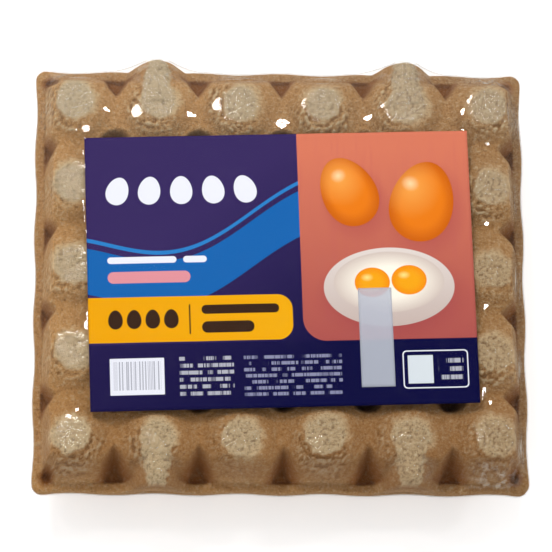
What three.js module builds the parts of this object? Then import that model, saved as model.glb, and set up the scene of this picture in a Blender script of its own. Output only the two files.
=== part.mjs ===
// A shrink-wrapped pack of thirty eggs, in millimetres, +Z up.
// Two moulded-pulp trays lie face to face, a printed paper label lies on the upper one's
// cup bottoms, and clear film is drawn tight round everything. The pack stands on z = 0.
// X runs along the side of six cups, and -Y is the front.
import * as THREE from 'three';

// The trays
const COLUMNS = 6;
const ROWS = 5;
const PITCH_X = 50;
const PITCH_Y = 51;
const TRAY_LENGTH = 297;
const TRAY_WIDTH = 261;
const TRAY_HEIGHT = 39;
const CAP_RADIUS = 11;
const SADDLE_HEIGHT = 30;
const CAP_LINE = 10;
const FLANK_LINE = 17.5;
const CAP_SHOULDER = 2;

// The rim, a flat flange that meets the other tray's
const RIM_HEIGHT = 4.5;
const RIM_WIDTH = 6;
const CORNER_RADIUS = 6;
const RIM_WAVE = 0.6;

// The posts between four cups, which are pits on this side, and the notches at the rim
const PIT_FLOOR = 2.2;
const PIT_RADIUS = 3;
const PIT_SLOPE = 3;
const NOTCH_BASE = 6;
const NOTCH_FLOOR_SHARE = 0.45;
const NOTCH_HALF_WIDTH = 12;
const END_NOTCH_REACH = 18;
const LEFT_NOTCH_REACH = 8;
const RIGHT_NOTCH_REACH = 12;
const CORNER_PIT_INSET = 9;
const CORNER_PIT_RADIUS = 2;
const CORNER_PIT_SLOPE = 4.5;
const ROUNDING = 4;

// The upper tray's ridges, which run out from two cups of the front row and two of the back row
const EAR_COLUMNS = [1, 4];
const EAR_WIDTH_AT_CAP = 20;
const EAR_WIDTH_AT_RIM = 11;
const EAR_SLOPE = 2.6;
const EAR_TENT = 22;

// The paper label, and the clear sticker on it
const LABEL_SIZE = [230, 167];
const LABEL_THICKNESS = 0.3;
const LABEL_CENTRE = [-1.4, -1.7];
const LABEL_TURN = THREE.MathUtils.degToRad(1.7);
const STICKER_SIZE = [20, 60];
const STICKER_THICKNESS = 0.2;
const STICKER_CENTRE = [55, -42.5];

// The film
const FILM_THICKNESS = 0.3;
const FILM_FULLNESS = 0.85;
const GAP = 0.3;
const VENT_RADIUS = 3;
const VENT_SIDES = 10;
const VENT_CENTRES = [[-50, 25.5], [50, -25.5]];

// Heights of the layers, from the ground up
const LOWER_TRAY_BOTTOM = FILM_THICKNESS + GAP;
const LOWER_TRAY_TOP = LOWER_TRAY_BOTTOM + TRAY_HEIGHT;
const UPPER_TRAY_BOTTOM = LOWER_TRAY_TOP + GAP;
const UPPER_TRAY_TOP = UPPER_TRAY_BOTTOM + TRAY_HEIGHT;
const LABEL_BOTTOM = UPPER_TRAY_TOP + GAP;
const STICKER_BOTTOM = LABEL_BOTTOM + LABEL_THICKNESS + GAP;
const FILM_CEILING = STICKER_BOTTOM + STICKER_THICKNESS + GAP;
const MID_PLANE = (LOWER_TRAY_TOP + UPPER_TRAY_BOTTOM) / 2;

// Two lengths this close are the same
const NEARLY = 1e-6;

const HALF = [TRAY_LENGTH / 2, TRAY_WIDTH / 2];
const CUPS = [COLUMNS, ROWS];
const PITCH = [PITCH_X, PITCH_Y];
const LAST_CUP = CUPS.map((count, axis) => (count - 1) / 2 * PITCH[axis]);
const CAP_EDGE_INSET = HALF.map((half, axis) => half - LAST_CUP[axis] - CAP_RADIUS);

// Smooth steps and smooth joins of two heights
const { clamp, lerp, smoothstep } = THREE.MathUtils;

function smoothMin(a, b, reach) {
  const near = Math.max(reach - Math.abs(a - b), 0) / reach;
  return Math.min(a, b) - near * near * reach / 4;
}

function smoothMax(a, b, reach) {
  return -smoothMin(-a, -b, reach);
}

// Where the cups and the pits stand along one axis
const cupCentres = [0, 1].map((axis) => {
  return Array.from({ length: CUPS[axis] }, (_, k) => k * PITCH[axis] - LAST_CUP[axis]);
});
const pitCentres = [0, 1].map((axis) => {
  return cupCentres[axis].slice(1).map((centre) => centre - PITCH[axis] / 2);
});

const earCentres = EAR_COLUMNS.map((column) => cupCentres[0][column]);

function nearest(value, places) {
  return places.reduce((best, place) => {
    return Math.abs(place - value) < Math.abs(best - value) ? place : best;
  });
}

function distanceToCup(x, y) {
  return Math.hypot(x - nearest(x, cupCentres[0]), y - nearest(y, cupCentres[1]));
}

// A cone that opens upwards from a round floor
function cone(distance, radius, slope) {
  return PIT_FLOOR + Math.max(0, distance - radius) * slope;
}

// A recess with a triangular mouth: one side lies along the rim, and the corner across from
// it points inwards
function notchHeight(aside, inset, reach) {
  const mouth = aside / NOTCH_HALF_WIDTH + Math.max(0, inset - NOTCH_BASE) / reach;
  const share = Math.max(0, mouth - NOTCH_FLOOR_SHARE) / (1 - NOTCH_FLOOR_SHARE);
  return lerp(PIT_FLOOR, SADDLE_HEIGHT, share);
}

// Pits between four cups, notches between two cups and the rim, and a pit in each corner
function pitHeight(x, y) {
  const corner = HALF.map((half) => half - CORNER_PIT_INSET);
  const across = [nearest(x, pitCentres[0]), nearest(y, pitCentres[1])];
  const inner = cone(Math.hypot(x - across[0], y - across[1]), PIT_RADIUS, PIT_SLOPE);
  const sideReach = x < 0 ? LEFT_NOTCH_REACH : RIGHT_NOTCH_REACH;
  const sides = notchHeight(Math.abs(y - across[1]), HALF[0] - Math.abs(x), sideReach);
  const ends = notchHeight(Math.abs(x - across[0]), HALF[1] - Math.abs(y), END_NOTCH_REACH);
  const away = Math.hypot(Math.abs(x) - corner[0], Math.abs(y) - corner[1]);
  const corners = cone(away, CORNER_PIT_RADIUS, CORNER_PIT_SLOPE);
  return Math.min(inner, sides, ends, corners);
}

// The wall that rises from the rim to the outermost caps
function wallHeight(x, y) {
  const rise = [x, y].map((value, axis) => {
    const inset = HALF[axis] - Math.abs(value);
    const share = clamp((inset - RIM_WIDTH) / (CAP_EDGE_INSET[axis] - RIM_WIDTH), 0, 1);
    return Math.pow(share, 0.8);
  });
  return lerp(RIM_HEIGHT, TRAY_HEIGHT, Math.min(...rise));
}

// A ridge at nearly full height, which narrows towards the rim
function earHeight(x, y) {
  const beyond = (Math.abs(y) - LAST_CUP[1]) / (HALF[1] - LAST_CUP[1]);
  if (beyond < 0) return 0;
  const aside = Math.abs(x - nearest(x, earCentres));
  const halfWidth = lerp(EAR_WIDTH_AT_CAP, EAR_WIDTH_AT_RIM, beyond) / 2;
  return TRAY_HEIGHT - beyond - Math.max(0, aside - halfWidth) * EAR_SLOPE;
}

// A tray's height over the plane where the two trays meet
function trayHeight(x, y, eared) {
  const fall = smoothstep(distanceToCup(x, y), CAP_RADIUS - 1, PITCH_X / 2);
  const domes = lerp(TRAY_HEIGHT, SADDLE_HEIGHT, Math.pow(fall, 1.2));
  const walled = smoothMin(domes, wallHeight(x, y), CAP_SHOULDER);
  const pitted = smoothMin(walled, pitHeight(x, y), ROUNDING);
  const inset = Math.min(HALF[0] - Math.abs(x), HALF[1] - Math.abs(y));
  const rim = RIM_HEIGHT - Math.max(0, inset - RIM_WIDTH) * 1.5;
  const ridged = eared ? smoothMax(pitted, earHeight(x, y), 2) : pitted;
  return Math.min(Math.max(ridged, rim, PIT_FLOOR), TRAY_HEIGHT);
}

// Grid lines along one axis: through each cap, over its edge, down its flank and through the
// pits, and along the flat top of each ear
function trayLines(axis) {
  const offsets = [-FLANK_LINE, -CAP_LINE, 0, CAP_LINE, FLANK_LINE];
  const wallSteps = axis === 0 ? 2 : 3;
  const lines = cupCentres[axis].flatMap((centre) => offsets.map((offset) => centre + offset));
  const inner = [...lines, ...pitCentres[axis]].filter((line) => Math.abs(line) <= LAST_CUP[axis]);
  if (axis === 0) {
    inner.push(...earCentres.flatMap((centre) => [-1, 1].map((side) => {
      return centre + side * EAR_WIDTH_AT_RIM / 2;
    })));
  }
  const outer = [0, RIM_WIDTH / 2];
  for (let k = 0; k <= wallSteps; k++) {
    outer.push(lerp(RIM_WIDTH, CAP_EDGE_INSET[axis], k / wallSteps));
  }
  for (const inset of outer) {
    inner.push(HALF[axis] - inset, inset - HALF[axis]);
  }
  return inner.sort((a, b) => a - b);
}

// The film follows only the rim and the caps' outer edges
function isFilmLine(line, axis) {
  const inset = HALF[axis] - Math.abs(line);
  const kept = [0, RIM_WIDTH / 2, RIM_WIDTH, CAP_EDGE_INSET[axis]];
  return inset > CAP_EDGE_INSET[axis] || kept.some((value) => Math.abs(value - inset) < NEARLY);
}

const lines = [trayLines(0), trayLines(1)];
const filmLines = lines.map((list, axis) => list.filter((line) => isFilmLine(line, axis)));

// Rounds the outline's corners, and lets its edges swell a little beside each notch
function inPlan(x, y) {
  const inset = [HALF[0] - Math.abs(x), HALF[1] - Math.abs(y)];
  const past = inset.map((value) => Math.max(0, CORNER_RADIUS - value));
  const place = [Math.abs(x), Math.abs(y)];
  if (past[0] > 0 && past[1] > 0) {
    const pull = 1 - Math.max(...past) / Math.hypot(...past);
    place[0] -= past[0] * pull;
    place[1] -= past[1] * pull;
  }
  const along = [y / PITCH_Y, (x - PITCH_X / 2) / PITCH_X];
  for (const axis of [0, 1]) {
    const edge = clamp(1 - inset[axis] / RIM_WIDTH, 0, 1);
    const away = clamp((inset[1 - axis] - CORNER_RADIUS) / RIM_WIDTH, 0, 1);
    place[axis] -= RIM_WAVE * (1 + Math.cos(2 * Math.PI * along[axis])) * edge * away;
  }
  return [place[0] * Math.sign(x), place[1] * Math.sign(y)];
}

// Collects triangles, anticlockwise as seen from outside
class Skin {
  constructor() {
    this.corners = [];
  }

  triangle(a, b, c) {
    this.corners.push(...a, ...b, ...c);
  }

  // A quad is cut along the diagonal whose ends differ least in height
  quad(a, b, c, d) {
    if (Math.abs(a[2] - c[2]) <= Math.abs(b[2] - d[2])) {
      this.triangle(a, b, c);
      this.triangle(a, c, d);
    } else {
      this.triangle(b, c, d);
      this.triangle(b, d, a);
    }
  }

  // A side wall between two closed rings of as many points, the first one lower
  wall(low, high) {
    low.forEach((_, k) => {
      const next = (k + 1) % low.length;
      this.quad(low[k], low[next], high[next], high[k]);
    });
  }

  // A flat face bounded by rings of points at one height, facing up or down
  flat(outline, holes, up) {
    const toPlan = (ring) => ring.map(([x, y]) => new THREE.Vector2(x, y));
    const points = [...outline, ...holes.flat()];
    const plan = toPlan(points);
    for (const [a, b, c] of THREE.ShapeUtils.triangulateShape(toPlan(outline), holes.map(toPlan))) {
      const anticlockwise = THREE.ShapeUtils.area([plan[a], plan[b], plan[c]]) > 0;
      const order = anticlockwise === up ? [a, b, c] : [a, c, b];
      this.triangle(...order.map((k) => points[k]));
    }
  }

  // Adds another skin's triangles, turned inside out if asked
  add(other, insideOut) {
    for (let k = 0; k < other.corners.length; k += 9) {
      const [a, b, c] = [0, 3, 6].map((step) => other.corners.slice(k + step, k + step + 3));
      this.triangle(a, ...(insideOut ? [c, b] : [b, c]));
    }
  }

  geometry() {
    const geometry = new THREE.BufferGeometry();
    geometry.setAttribute('position', new THREE.Float32BufferAttribute(this.corners, 3));
    geometry.computeVertexNormals();
    return geometry;
  }
}

// The ring of a grid's outermost points, anticlockwise from above
function ringOf(xs, ys, point) {
  const ring = [];
  const [lastX, lastY] = [xs.length - 1, ys.length - 1];
  for (let i = 0; i < lastX; i++) ring.push(point(xs[i], ys[0]));
  for (let j = 0; j < lastY; j++) ring.push(point(xs[lastX], ys[j]));
  for (let i = lastX; i > 0; i--) ring.push(point(xs[i], ys[lastY]));
  for (let j = lastY; j > 0; j--) ring.push(point(xs[0], ys[j]));
  return ring;
}

// Lays one surface over a grid. leftOut(x, y) tells which cells have none
function layGrid(skin, xs, ys, point, up, leftOut = () => false) {
  for (let i = 0; i + 1 < xs.length; i++) {
    for (let j = 0; j + 1 < ys.length; j++) {
      const [x0, x1, y0, y1] = [xs[i], xs[i + 1], ys[j], ys[j + 1]];
      if (leftOut((x0 + x1) / 2, (y0 + y1) / 2)) continue;
      const corners = [point(x0, y0), point(x1, y0), point(x1, y1), point(x0, y1)];
      skin.quad(...(up ? corners : corners.reverse()));
    }
  }
}

// One tray: its moulded side up, its flat side on z = 0
function trayGeometry(eared) {
  const skin = new Skin();
  const [xs, ys] = lines;
  const moulded = (x, y) => [...inPlan(x, y), trayHeight(x, y, eared)];
  layGrid(skin, xs, ys, moulded, true);
  const floor = ringOf(xs, ys, (x, y) => [...inPlan(x, y), 0]);
  const edge = ringOf(xs, ys, moulded);
  skin.wall(floor, edge);
  skin.flat(floor, [], false);
  return skin.geometry();
}

// How high the film stands at the outline: on the rim, and drawn up to each ear
function filmEdgeHeight(x, y, eared) {
  const beside = eared && HALF[1] - Math.abs(y) < CAP_EDGE_INSET[1];
  const aside = Math.abs(x - nearest(x, earCentres));
  const tent = clamp(1 - (aside - EAR_WIDTH_AT_RIM) / EAR_TENT, 0, 1);
  return lerp(RIM_HEIGHT, TRAY_HEIGHT, beside ? tent * tent : 0) + GAP;
}

// The film's inner face over one tray, measured from the plane where the trays meet
function filmHeight(x, y, ceiling, eared) {
  const short = [x, y].map((value, axis) => {
    return Math.max(0, 1 - (HALF[axis] - Math.abs(value)) / CAP_EDGE_INSET[axis]);
  });
  const share = Math.max(0, 1 - Math.hypot(...short));
  const tent = lerp(filmEdgeHeight(x, y, eared), ceiling, Math.pow(share, FILM_FULLNESS));
  return share > 1 - NEARLY ? ceiling : Math.max(tent, trayHeight(x, y, eared) + GAP);
}

// A point of one face of the film, over the upper tray or under the lower one
function filmPoint(x, y, side, offset) {
  const ceiling = side > 0 ? FILM_CEILING - MID_PLANE : MID_PLANE - FILM_THICKNESS;
  const outwards = [x, y].map((value, axis) => {
    const inset = HALF[axis] - Math.abs(value);
    if (inset > CAP_EDGE_INSET[axis] + NEARLY) return 0;
    return Math.sign(value) * (inset < NEARLY ? GAP + offset : offset);
  });
  const plan = inPlan(x, y).map((value, axis) => value + outwards[axis]);
  return [...plan, MID_PLANE + side * (filmHeight(x, y, ceiling, side > 0) + offset)];
}

// The edge of a vent in one face of the underside, anticlockwise from above
function ventRing([x, y], offset) {
  return Array.from({ length: VENT_SIDES }, (_, k) => {
    const angle = 2 * Math.PI * k / VENT_SIDES;
    const plan = [x + VENT_RADIUS * Math.cos(angle), y + VENT_RADIUS * Math.sin(angle)];
    return [...plan, FILM_THICKNESS - offset];
  });
}

// One face of the film all round, with holes for the vents
function filmFace(offset) {
  const face = new Skin();
  const [xs, ys] = filmLines;
  const flatHalf = HALF.map((half, axis) => half - CAP_EDGE_INSET[axis] + NEARLY);
  const [flatXs, flatYs] = filmLines.map((list, axis) => {
    return list.filter((line) => Math.abs(line) <= flatHalf[axis]);
  });
  const isFlat = (x, y) => Math.abs(x) < flatHalf[0] && Math.abs(y) < flatHalf[1];
  const over = (x, y) => filmPoint(x, y, 1, offset);
  const under = (x, y) => filmPoint(x, y, -1, offset);
  layGrid(face, xs, ys, over, true, isFlat);
  layGrid(face, xs, ys, under, false, isFlat);
  face.wall(ringOf(xs, ys, under), ringOf(xs, ys, over));
  face.flat(ringOf(flatXs, flatYs, over), [], true);
  face.flat(ringOf(flatXs, flatYs, under), VENT_CENTRES.map((at) => ventRing(at, offset)), false);
  return face;
}

// The film: an outer face and an inner one, joined round the vents
function filmGeometry() {
  const skin = new Skin();
  skin.add(filmFace(FILM_THICKNESS), false);
  skin.add(filmFace(0), true);
  for (const centre of VENT_CENTRES) {
    skin.wall(ventRing(centre, 0), ventRing(centre, FILM_THICKNESS));
  }
  return skin.geometry();
}

function sheetGeometry([length, width], thickness) {
  const sheet = new THREE.BoxGeometry(length, width, thickness);
  sheet.translate(0, 0, thickness / 2);
  return sheet;
}

function piece(name, geometry, colour, roughness, opacity = 1) {
  const material = new THREE.MeshStandardMaterial({ color: colour, roughness, metalness: 0 });
  material.transparent = opacity < 1;
  material.opacity = opacity;
  const mesh = new THREE.Mesh(geometry, material);
  mesh.name = name;
  return mesh;
}

function buildPack() {
  const pack = new THREE.Group();
  const upper = piece('upper_tray', trayGeometry(true), 0xa98a62, 0.95);
  upper.position.z = UPPER_TRAY_BOTTOM;
  const lower = piece('lower_tray', trayGeometry(false), 0xa08058, 0.95);
  lower.rotation.x = Math.PI;
  lower.position.z = LOWER_TRAY_TOP;
  const label = piece('label', sheetGeometry(LABEL_SIZE, LABEL_THICKNESS), 0x2e2a66, 0.5);
  label.position.set(...LABEL_CENTRE, LABEL_BOTTOM);
  label.rotation.z = LABEL_TURN;
  const sticker = piece(
    'clear_sticker', sheetGeometry(STICKER_SIZE, STICKER_THICKNESS), 0xd8dce4, 0.35, 0.5,
  );
  sticker.position.set(...STICKER_CENTRE, STICKER_BOTTOM);
  sticker.rotation.z = LABEL_TURN;
  const film = piece('film', filmGeometry(), 0xf2f4f5, 0.15, 0.2);
  pack.add(upper, lower, label, sticker, film);
  return pack;
}

export default buildPack();
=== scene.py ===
# %% [markdown]
# # A shrink-wrapped pack of thirty eggs
# Two moulded-pulp trays lie face to face and hide the eggs. A printed label lies on the
# upper cups, with a see-through sticker on it, and clear shrink film is drawn tight round
# everything. The CAD solids fix the sizes and places. This lesson gives each of them a finer
# mesh in the same place, and a finish.

# %% Load the frame
import itertools
import math

import bpy
import numpy as np
from mathutils import Matrix, Vector


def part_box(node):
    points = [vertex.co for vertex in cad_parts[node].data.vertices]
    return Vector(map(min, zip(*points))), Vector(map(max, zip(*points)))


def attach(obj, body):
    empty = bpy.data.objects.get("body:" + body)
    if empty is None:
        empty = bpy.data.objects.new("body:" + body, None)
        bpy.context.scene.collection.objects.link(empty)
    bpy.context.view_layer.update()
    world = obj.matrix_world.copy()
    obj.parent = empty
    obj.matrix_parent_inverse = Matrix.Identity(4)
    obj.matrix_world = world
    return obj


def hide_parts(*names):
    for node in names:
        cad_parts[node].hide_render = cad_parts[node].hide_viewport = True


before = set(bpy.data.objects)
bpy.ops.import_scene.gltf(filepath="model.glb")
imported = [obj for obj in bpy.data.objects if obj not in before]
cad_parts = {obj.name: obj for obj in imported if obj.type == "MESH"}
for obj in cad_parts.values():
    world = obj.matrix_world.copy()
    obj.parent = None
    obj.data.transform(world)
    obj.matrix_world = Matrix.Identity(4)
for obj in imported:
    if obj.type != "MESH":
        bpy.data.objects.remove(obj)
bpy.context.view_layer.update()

MM = 0.001

# %% [markdown]
# ## The camera
# The photograph looks almost straight down, from a little in front and a little to the left,
# through a long lens, which keeps the pack's sides parallel. The camera could be turned by
# angles, but a matrix built from the line of sight is easier to check: its columns are the
# picture's right, its up, and the way back to the camera.

# %% Camera
TILT = math.radians(13.58)
SIDE = math.radians(3.15)
ROLL = math.radians(-0.33)
DISTANCE = 2000
LENS = 215.8
AIM_HEIGHT = 44.25
AIM_RIGHT = -2.51
AIM_UP = 2.64


def photo_camera():
    """A camera at the photograph's place, aimed just beside the pack's middle."""
    back = Vector((
        -math.sin(SIDE),
        -math.sin(TILT) * math.cos(SIDE),
        math.cos(TILT) * math.cos(SIDE),
    ))
    level = Vector((0, 1, 0)).cross(back).normalized()
    upright = back.cross(level)
    right = math.cos(ROLL) * level + math.sin(ROLL) * upright
    up = math.cos(ROLL) * upright - math.sin(ROLL) * level
    aim = Vector((0, 0, AIM_HEIGHT)) + AIM_RIGHT * right + AIM_UP * up
    camera = bpy.data.objects.new("photo_camera", bpy.data.cameras.new("photo_camera"))
    camera.data.lens = LENS
    camera.data.sensor_width = 36
    camera.data.clip_end = 20
    turn = Matrix((right, up, back)).transposed().to_4x4()
    camera.matrix_world = Matrix.Translation((aim + DISTANCE * back) * MM) @ turn
    bpy.context.scene.collection.objects.link(camera)
    bpy.context.scene.camera = camera
    return camera


camera = photo_camera()
print("camera at", [round(value, 3) for value in camera.matrix_world.translation])

# %% [markdown]
# ## Materials as Python sums
# A procedural finish is a net of small nodes. Wiring them by hand hides the sum that they
# make, so one small class wraps a socket and turns + - * / into Math nodes. Colours go
# through Mix nodes, and every other node comes from one method.

# %% Sockets that add up


def feed(slot, value):
    """Links a wire to a node's socket, or sets the socket to a plain value."""
    if isinstance(value, Wire):
        slot.node.id_data.links.new(value.socket, slot)
    elif slot.type == "RGBA":
        slot.default_value = (*value[:3], 1)
    else:
        slot.default_value = value


def adding(operation, swapped=False):
    """A method that adds one Math node to its values."""
    def method(self, *others):
        node = self.socket.id_data.nodes.new("ShaderNodeMath")
        node.operation = operation
        values = (*others, self) if swapped else (self, *others)
        for slot, value in zip(node.inputs, values):
            feed(slot, value)
        return Wire(node.outputs[0])
    return method


class Wire:
    """A socket's value, on which arithmetic adds Math nodes."""

    def __init__(self, socket):
        self.socket = socket

    __add__ = adding("ADD")
    __radd__ = adding("ADD", swapped=True)
    __sub__ = adding("SUBTRACT")
    __rsub__ = adding("SUBTRACT", swapped=True)
    __mul__ = adding("MULTIPLY")
    __rmul__ = adding("MULTIPLY", swapped=True)
    __truediv__ = adding("DIVIDE")
    __pow__ = adding("POWER")
    __abs__ = adding("ABSOLUTE")
    at_least = adding("MAXIMUM")
    at_most = adding("MINIMUM")
    root = adding("SQRT")
    sine = adding("SINE")
    whole = adding("FLOOR")
    part = adding("FRACT")

    def clear(self):
        """Cut to the range from 0 to 1."""
        return self.at_least(0.0).at_most(1.0)


print("a wire knows", sum(callable(thing) for thing in vars(Wire).values()), "operations")

# %% [markdown]
# A finish starts as an empty net. Each method adds the nodes for one idea, such as a noise of
# a size in millimetres, so that a material reads as a list of what it shows.

# %% One finish


def tint(code):
    """The linear colour of a hex code such as B8A67E."""
    shares = [int(code[k:k + 2], 16) / 255 for k in (0, 2, 4)]
    return tuple(s / 12.92 if s <= 0.04045 else ((s + 0.055) / 1.055) ** 2.4 for s in shares)


class Finish:
    """A material whose nodes are added one by one."""

    def __init__(self, name):
        self.material = bpy.data.materials.new(name)
        self.material.use_nodes = True
        self.tree = self.material.node_tree
        self.tree.nodes.clear()

    def node(self, kind, settings=None, sockets=None, output=0):
        """A node of one kind, its settings first, then its sockets. Gives one output."""
        node = self.tree.nodes.new("ShaderNode" + kind)
        for name, value in (settings or {}).items():
            setattr(node, name, value)
        for name, value in (sockets or {}).items():
            feed(node.inputs[name], value)
        return Wire(node.outputs[output]) if node.outputs else None

    def mix(self, low, high, share):
        """A colour between two, by a share from 0 to 1."""
        return self.node("Mix", {"data_type": "RGBA"}, {0: share, 6: low, 7: high}, output=2)

    def place(self):
        """The point on the piece, in millimetres, as a vector."""
        where = self.node("TexCoord", output=3)
        return self.node("VectorMath", {"operation": "SCALE"}, {0: where, "Scale": 1 / MM})

    def axes(self, vector):
        """The three parts of a vector."""
        return [self.node("SeparateXYZ", None, {0: vector}, k) for k in range(3)]

    def stretched(self, vector, sizes):
        """The vector measured in units that differ along each axis."""
        return self.node("VectorMath", {"operation": "DIVIDE"}, {0: vector, 1: sizes})

    def noise(self, vector, size, detail=2.0, roughness=0.5, distortion=0.0):
        """Cloudy noise from 0 to 1 with blobs of about one size."""
        sockets = {"Vector": vector, "Scale": 1 / size, "Detail": detail}
        sockets.update({"Roughness": roughness, "Distortion": distortion})
        return self.node("TexNoise", None, sockets)

    def attribute(self, name):
        """A value that the mesh keeps at each of its points."""
        return self.node("Attribute", {"attribute_name": name}, None, 2)

    def bump(self, height, strength, depth):
        """A normal bent by a height from 0 to 1 that stands for a depth in millimetres."""
        sockets = {"Height": height, "Strength": strength, "Distance": depth * MM}
        return self.node("Bump", None, sockets)

    def show(self, shader):
        """Sends a shader to the surface."""
        self.node("OutputMaterial", None, {"Surface": shader})
        return self.material

    def skin(self, sockets):
        """A Principled surface."""
        return self.node("BsdfPrincipled", None, sockets)


print("a test colour:", [round(value, 3) for value in tint("B8A67E")])

# %% [markdown]
# ## Floor and light
# A plain pale floor and bright surroundings keep the shadows in the pits soft, and a key lamp
# behind on the left models the cups. Film shows itself by small hard reflections, so small
# lamps hang where tilted film mirrors them towards the camera, and none hangs where the flat
# film on the label would. Film that mirrors a white room greys out all that is under it, so
# the floor and the surroundings are hidden from mirror rays.

# %% Stage
FLOOR_SIZE = 6.0
WORLD_LIGHT = 0.74
RING_LAMPS = 8
RING_RADIUS = 0.055
RING_FLATNESS = 0.6
RING_MIDDLE = Vector((0.1, 1.1, 1.5))
PACK_MIDDLE = Vector((0, 0, 0.06))


def floor():
    """A plain pale sheet that the pack stands on."""
    mesh = bpy.data.meshes.new("floor")
    half = FLOOR_SIZE / 2
    corners = [(-half, -half, 0), (half, -half, 0), (half, half, 0), (-half, half, 0)]
    mesh.from_pydata(corners, [], [(0, 1, 2, 3)])
    sheet = bpy.data.objects.new("floor", mesh)
    bpy.context.scene.collection.objects.link(sheet)
    finish = Finish("floor_paint")
    mesh.materials.append(finish.show(finish.skin({
        "Base Color": (0.85, 0.85, 0.85),
        "Roughness": 0.9,
        "Specular IOR Level": 0.1,
        "Emission Color": (1, 1, 1),
        "Emission Strength": 0.42,
    })))
    sheet.visible_glossy = False


def lamp(name, place, size, power, colour=(1, 1, 1)):
    """A round soft lamp at a place in metres, turned to the pack's middle."""
    light = bpy.data.lights.new(name, "AREA")
    light.shape = "DISK"
    light.size = size
    light.energy = power
    light.color = colour
    holder = bpy.data.objects.new(name, light)
    holder.location = place
    way = PACK_MIDDLE - Vector(place)
    holder.rotation_euler = way.to_track_quat("-Z", "Y").to_euler()
    bpy.context.scene.collection.objects.link(holder)


floor()
world = bpy.data.worlds.new("studio")
world.use_nodes = True
world.node_tree.nodes["Background"].inputs["Color"].default_value = (1, 1, 1, 1)
world.node_tree.nodes["Background"].inputs["Strength"].default_value = WORLD_LIGHT
world.cycles_visibility.glossy = False
bpy.context.scene.world = world
lamp("key_lamp", (-0.55, 1.0, 1.8), 0.46, 16, (1.0, 0.97, 0.93))
lamp("glint_lamp", (-1.0, 0.46, 1.72), 0.14, 1.8)
lamp("window_lamp", (1.35, 0.3, 1.25), 0.16, 3, (0.93, 0.97, 1.0))
for k in range(RING_LAMPS):
    turn = 2 * math.pi * k / RING_LAMPS
    place = RING_MIDDLE + RING_RADIUS * Vector((math.cos(turn), RING_FLATNESS * math.sin(turn), 0))
    lamp("spark_lamp_%d" % k, place, 0.04, 0.5)
bpy.context.scene.view_settings.view_transform = "Standard"

# %% [markdown]
# ## The moulded tray
# A pulp tray is a thin shell sucked onto a mould. From outside it is one surface of heights:
# flat cup ends that are pale and crumbly, smooth saddles between them, deep pits where four
# cups meet, notches at the rim, and a flat rim. It could be sculpted, but each form repeats
# thirty times, so formulas on a fine grid make it. Like formulas on a coarser grid made the
# CAD solid, with firmer joins and wider pits.

# %% Sizes of the tray, in millimetres
COLUMNS = 6
ROWS = 5
PITCH_X = 50
PITCH_Y = 51
TRAY_HEIGHT = 39
CAP_RADIUS = 11
SADDLE_HEIGHT = 30
CAP_SHOULDER = 5
RIM_HEIGHT = 4.5
RIM_WIDTH = 6
CORNER_RADIUS = 6
RIM_WAVE = 0.6
PIT_FLOOR = 2.2
PIT_RADIUS = 3
PIT_SLOPE = 4.2
NOTCH_BASE = 6
NOTCH_FLOOR_SHARE = 0.45
NOTCH_HALF_WIDTH = 13
END_NOTCH_REACH = 18
LEFT_NOTCH_REACH = 8
RIGHT_NOTCH_REACH = 12
CORNER_PIT_INSET = 9
CORNER_PIT_RADIUS = 2
CORNER_PIT_SLOPE = 4.5
ROUNDING = 6
EAR_WIDTH_AT_CAP = 20
EAR_WIDTH_AT_RIM = 11
EAR_SLOPE = 2.6
EAR_SHOULDER = 7
EAR_REACH = 3 * PITCH_X
CLUMP_SIZE = 2.6
CRUMB_SIZE = 1.9
CRACK_SPACING = 3.4
WRINKLE_LENGTH = 3.6
WRINKLE_PITCH = 2.4
FRAY_SIZE = 2.0
UPPER_BOX = [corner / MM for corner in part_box("upper_tray")]
LOWER_BOX = [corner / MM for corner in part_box("lower_tray")]
HALF_X = (UPPER_BOX[1].x - UPPER_BOX[0].x) / 2
HALF_Y = (UPPER_BOX[1].y - UPPER_BOX[0].y) / 2
UPPER_FLOOR = UPPER_BOX[0].z
LOWER_CEILING = LOWER_BOX[1].z
LAST_X = (COLUMNS - 1) / 2 * PITCH_X
LAST_Y = (ROWS - 1) / 2 * PITCH_Y
EDGE_X = HALF_X - LAST_X - CAP_RADIUS
EDGE_Y = HALF_Y - LAST_Y - CAP_RADIUS
print("half sizes", round(HALF_X, 1), round(HALF_Y, 1), "upper tray stands on", round(UPPER_FLOOR, 2))

# %% [markdown]
# Heights that meet in a sharp crease look machined. Pulp bends softly from one form to the
# next, so two heights are joined by a minimum or a maximum with a rounded corner.

# %% Joins of heights


def between(low, high, share):
    """A value part of the way from one to another."""
    return low + (high - low) * share


def limit(values):
    """Cut to the range from 0 to 1."""
    return np.clip(values, 0, 1)


def ease(values, start, end):
    """A smooth step from 0 at the start to 1 at the end."""
    share = limit((values - start) / (end - start))
    return share * share * (3 - 2 * share)


def smooth_min(a, b, reach):
    """The lower of two heights, rounded where they come within a reach of each other."""
    near = np.maximum(reach - np.abs(a - b), 0) / reach
    return np.minimum(a, b) - near * near * reach / 4


def smooth_max(a, b, reach):
    return -smooth_min(-a, -b, reach)


def nearest(values, pitch, count):
    """The closest of some places, a pitch apart and centred on zero, and its number."""
    last = (count - 1) / 2 * pitch
    number = np.clip(np.round((values + last) / pitch), 0, count - 1)
    return number * pitch - last, number.astype(int)


NOISE_GAIN = 1.6


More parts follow.
